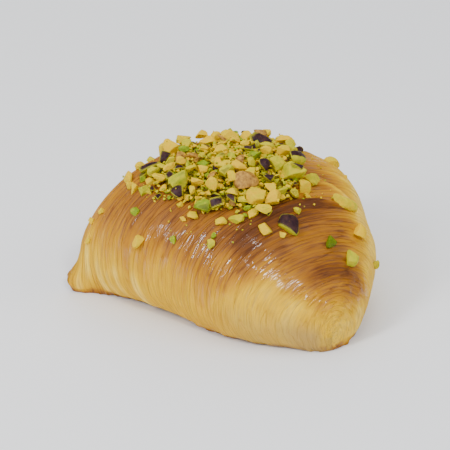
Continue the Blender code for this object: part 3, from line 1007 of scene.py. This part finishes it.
def lay_nuts(shell, crust, solid):
    """All the nuts: the loose ones first, then the heap, then the crumbs on it and round it."""
    ball = balls()
    kinds = {name: Pieces() for name in ("yellow", "lime", "green", "skin", "tan", "crumbs")}
    home = {"amber": "yellow", "cream": "yellow", "deep": "green", "half": "skin", "olive": "green", "sliver": "lime"}
    ground = Ground(crust, solid)
    bed = core_mesh(ground)
    raise_ground(ground, bed)

    for k, nut in enumerate(LOOSE_NUTS):
        rng = np.random.default_rng([7, k, nut.seed])
        place = on_shell(shell, nut.ring, nut.degrees)
        tries = [chopped(rng, ball[3][0], nut.size, nut.kind, nut.slim, nut.flat) for _ in range(5)]
        points, skin = max(tries, key=lambda made: made[0].std(axis=0).prod())
        points = turned(points, place.normal, math.radians(nut.turn), place.along)
        lowest = np.percentile(points @ place.normal, 22)
        points = points + place.point - place.normal * (lowest + 0.03 * nut.size)
        tint = NUT_TINTS[nut.kind] + rng.uniform(-0.05, 0.05)
        kinds[home.get(nut.kind, nut.kind)].add(points, ball[3][1], tint, skin)
        ground.stamp(points)

    rng = np.random.default_rng(7)
    lay = lambda *layer: scatter(rng, ground, ball, kinds, home, *layer)
    lay(400, 2.0 * MM, 3.4 * MM, 0.35)
    lay(900, 0.9 * MM, 1.8 * MM, 0.45)
    across, front = np.array(direction(58, 0)), np.array(direction(-32, 0))
    for k, chunk in enumerate(CHUNKS):
        made = np.random.default_rng([8, k])
        size = chunk.size * MM
        tries = [chopped(made, ball[3][0], size, chunk.kind, chunk.slim, chunk.flat) for _ in range(3)]
        points, skin = max(tries, key=lambda made: made[0].std(axis=0).prod())
        x, y = np.array(NOSE_FRAME) + HEAP_MIDDLE + np.array([chunk.x, chunk.y]) * MM
        tilt = math.radians(chunk.tilt)
        normal = ground.slope(x, y) * math.cos(tilt) + front * math.sin(tilt)
        points = turned(points, normal, math.radians(chunk.turn), across)
        points = ground.fall(points + [x, y, ground.top + 5 * MM])
        points[:, 2] -= max(points[:, 2].max() - ground.top, 0.0) + 0.06 * size
        kinds[home.get(chunk.kind, chunk.kind)].add(points, ball[3][1], NUT_TINTS[chunk.kind], skin)
        ground.stamp(points, keep_clear=True)
    lay(520, 3.4 * MM, 6.0 * MM, 1.0)
    lay(80, 0.8 * MM, 1.4 * MM, 1.0)

    middle = np.array(NOSE_FRAME) + HEAP_MIDDLE
    for _ in range(130):
        size = rng.uniform(0.4, 0.9) * MM
        bearing = rng.uniform(0, 2 * math.pi)
        reach = rng.uniform(0.93, 1.3) * heap_outline(bearing)
        x, y = middle + np.array(HEAP_HALF_SIZES) * reach * np.array([math.cos(bearing), math.sin(bearing)])
        kind = pick(rng, (("lime", 0.45), ("yellow", 0.3), ("green", 0.15), ("cream", 0.1)))
        points, skin = chopped(rng, ball[1][0], size, kind)
        points = turned(points, random_direction(rng) + [0, 0, 0.7], rng.uniform(0, 6.28), np.array([1.0, 0.3, 0.1]))
        points = ground.fall(points + [x, y, ground.top + 5 * MM])
        points[:, 2] -= 0.15 * size
        if points[:, 2].max() > ground.top:
            continue
        kinds["crumbs"].add(points, ball[1][1], NUT_TINTS[kind] + rng.uniform(-0.1, 0.1), 0 * skin)
    print("nuts laid", {name: (len(kind.points), sum(len(f) for f in kind.faces)) for name, kind in kinds.items()})
    return bed, kinds


def raise_ground(ground, bed):
    tree = BVHTree.FromPolygons([v.co for v in bed.vertices], [p.vertices for p in bed.polygons])
    for i, j in np.argwhere(ground.limit > 0):
        start = Vector((*(ground.low + ground.cell * (np.array([i, j]) + 0.5)), 1))
        hit = tree.ray_cast(start, Vector((0, 0, -1)))[0]
        if hit:
            ground.height[i, j] = max(ground.height[i, j], hit.z)
    ground.bed = ground.height.copy()


def tree_of(mesh):
    return BVHTree.FromPolygons([v.co.copy() for v in mesh.vertices], [tuple(p.vertices) for p in mesh.polygons])


PISTACHIO_COLOURS = (
    (0.00, (0.74, 0.445, 0.001)),
    (1.00, (0.05, 0.10, 0.003)),
    (0.15, (0.69, 0.485, 0.001)),
    (0.40, (0.48, 0.43, 0.006)),
    (0.70, (0.18, 0.285, 0.006)),
)
SKIN_COLOURS = ((0.0, (0.016, 0.006, 0.012)), (1.0, (0.060, 0.024, 0.022)))


def pistachio_material(name, dusty=0.0):
    n = Nodes(name)
    per_metre = 1 / MM
    coarse = n.noise(n.place(), scale=0.7 * per_metre, detail=3)
    fine = n.noise(n.place(), scale=2.5 * per_metre, detail=3, roughness=0.6)
    tint = n.math("ADD", n.attribute("tint"), n.span(coarse, 0.3, 0.7, -0.14, 0.14), clamp=True)
    colour = n.ramp(tint, PISTACHIO_COLOURS)
    colour = n.mix(n.span(fine, 0.35, 0.75, dusty, 0.2 + dusty), colour, (0.58, 0.48, 0.01))
    dark = n.ramp(n.span(coarse, 0.3, 0.7), SKIN_COLOURS)
    cover = n.math("MULTIPLY", n.attribute("skin"), n.span(fine, 0.22, 0.34))
    rough = n.math("SUBTRACT", n.span(fine, 0.3, 0.7, 0.42, 0.68), n.math("MULTIPLY", cover, 0.15))
    n.set(Base_Color=n.mix(cover, colour, dark), Roughness=rough)
    n.bump(n.math("ADD", n.math("MULTIPLY", coarse, 0.5), n.math("MULTIPLY", fine, 0.5)), 0.25 * MM)
    n.set(Subsurface_Weight=0.08, Subsurface_Radius=(1.0, 0.8, 0.2), Subsurface_Scale=0.6 * MM, Specular_IOR_Level=0.15)
    return n.material


def shade_bed_material():
    n = Nodes("crumb_and_shade_bed")
    per_metre = 1 / MM
    coarse = n.noise(n.place(), scale=0.9 * per_metre, detail=3)
    fine = n.noise(n.place(), scale=3.5 * per_metre, detail=3, roughness=0.7)
    # dark browns as painted shade in the gaps between the nuts, rising to a crumb yellow-green
    colours = ((0.0, (0.12, 0.06, 0.008)), (1.0, (0.50, 0.42, 0.03)), (0.45, (0.26, 0.19, 0.012)))
    n.set(Base_Color=n.ramp(n.math("ADD", n.span(coarse, 0.3, 0.7, 0, 0.6), n.span(fine, 0.3, 0.7, 0, 0.4)), colours))
    n.set(Roughness=n.span(fine, 0.3, 0.7, 0.6, 0.8), Specular_IOR_Level=0.25)
    n.bump(fine, 0.5 * MM)
    return n.material


def husk_material():
    n = Nodes("tan_flakes")
    per_metre = 1 / MM
    coarse = n.noise(n.place(), scale=0.8 * per_metre, detail=3)
    fine = n.noise(n.place(), scale=3 * per_metre, detail=3, roughness=0.6)
    colours = ((0.0, (0.18, 0.070, 0.008)), (1.0, (0.60, 0.32, 0.035)))
    n.set(Base_Color=n.ramp(n.span(coarse, 0.3, 0.7), colours), Roughness=n.span(fine, 0.3, 0.7, 0.45, 0.7))
    n.bump(fine, 0.2 * MM)
    return n.material


# ---------------------------------------------------------------- stage


def add_stage():
    """A plain pale floor that runs out of sight, two soft boxes and a soft top light."""
    mesh = bpy.data.meshes.new("floor")
    half = 3.0
    mesh.from_pydata([(-half, -half, 0), (half, -half, 0), (half, half, 0), (-half, half, 0)], [], [(0, 1, 2, 3)])
    floor = bpy.data.objects.new("floor", mesh)
    bpy.context.scene.collection.objects.link(floor)
    n = Nodes("pale_floor")
    n.set(Base_Color=n.ramp(n.noise(n.place(), scale=2), ((0, (0.86, 0.87, 0.89)), (1, (0.88, 0.89, 0.91)))))
    n.set(Roughness=0.8)
    mesh.materials.append(n.material)
    for name, azimuth, elevation, power, width, height in (
        ("left_softbox", -84, 36, 5.4, 0.13, 0.40),
        ("front_softbox", -14, 46, 3.4, 0.16, 0.16),
        ("right_fill", 48, 40, 2.0, 0.50, 0.50),
        ("top_light", -120, 75, 4.2, 0.80, 0.80),
        ("back_light", 150, 40, 3.2, 0.60, 0.60),
    ):
        add_light(name, azimuth, elevation, power, width, height)
    world = bpy.data.worlds.new("studio")
    bpy.context.scene.world = world
    world.use_nodes = True
    world.node_tree.nodes["Background"].inputs["Color"].default_value = (0.95, 0.97, 1.0, 1)
    world.node_tree.nodes["Background"].inputs["Strength"].default_value = 0.36


def direction(azimuth, elevation):
    """The unit vector from the object towards something seen at that azimuth and elevation."""
    a, e = math.radians(azimuth), math.radians(elevation)
    return Vector((math.sin(a) * math.cos(e), -math.cos(a) * math.cos(e), math.sin(e)))


def add_light(name, azimuth, elevation, power, width, height):
    light = bpy.data.lights.new(name, "AREA")
    light.energy = power
    light.shape = "RECTANGLE"
    light.size, light.size_y = width, height
    lamp = bpy.data.objects.new(name, light)
    bpy.context.scene.collection.objects.link(lamp)
    towards = direction(azimuth, elevation)
    lamp.location = towards * 0.9
    lamp.rotation_euler = (-towards).to_track_quat("-Z", "Y").to_euler()
    lamp.visible_glossy = "softbox" in name


def add_camera():
    camera = bpy.data.cameras.new("camera")
    camera.lens = 150
    camera.sensor_width = 36
    viewer = bpy.data.objects.new("camera", camera)
    bpy.context.scene.collection.objects.link(viewer)
    towards = direction(-32.2, 26)
    viewer.location = Vector((-12.8 * MM, -1.5 * MM, 31.7 * MM)) + towards * 0.6
    viewer.rotation_euler = (-towards).to_track_quat("-Z", "Y").to_euler()
    bpy.context.scene.camera = viewer


def main():
    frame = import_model()
    shell = make_shell()
    crust = crust_mesh(shell)
    add_piece("crust", crust, crust_material(), "pastry")
    bed, kinds = lay_nuts(shell, tree_of(crust), tree_of(frame["nodes"]["chopped_pistachios"].data))
    nut, crumb = pistachio_material("pistachio_flesh"), pistachio_material("pistachio_crumb", dusty=0.25)
    # the bed under the nuts, dark as painted shade in their gaps
    add_piece("crumb_and_shade_bed", bed, shade_bed_material(), "chopped_pistachios")
    for name, material in (
        ("yellow", nut),
        ("lime", nut),
        ("green", nut),
        ("skin", nut),
        ("tan", husk_material()),
        ("crumbs", crumb),
    ):
        mesh = kinds[name].mesh(f"pistachio_{name}")
        add_piece(f"pistachio_{name}", mesh, material, "chopped_pistachios")
    add_stage()
    add_camera()


main()
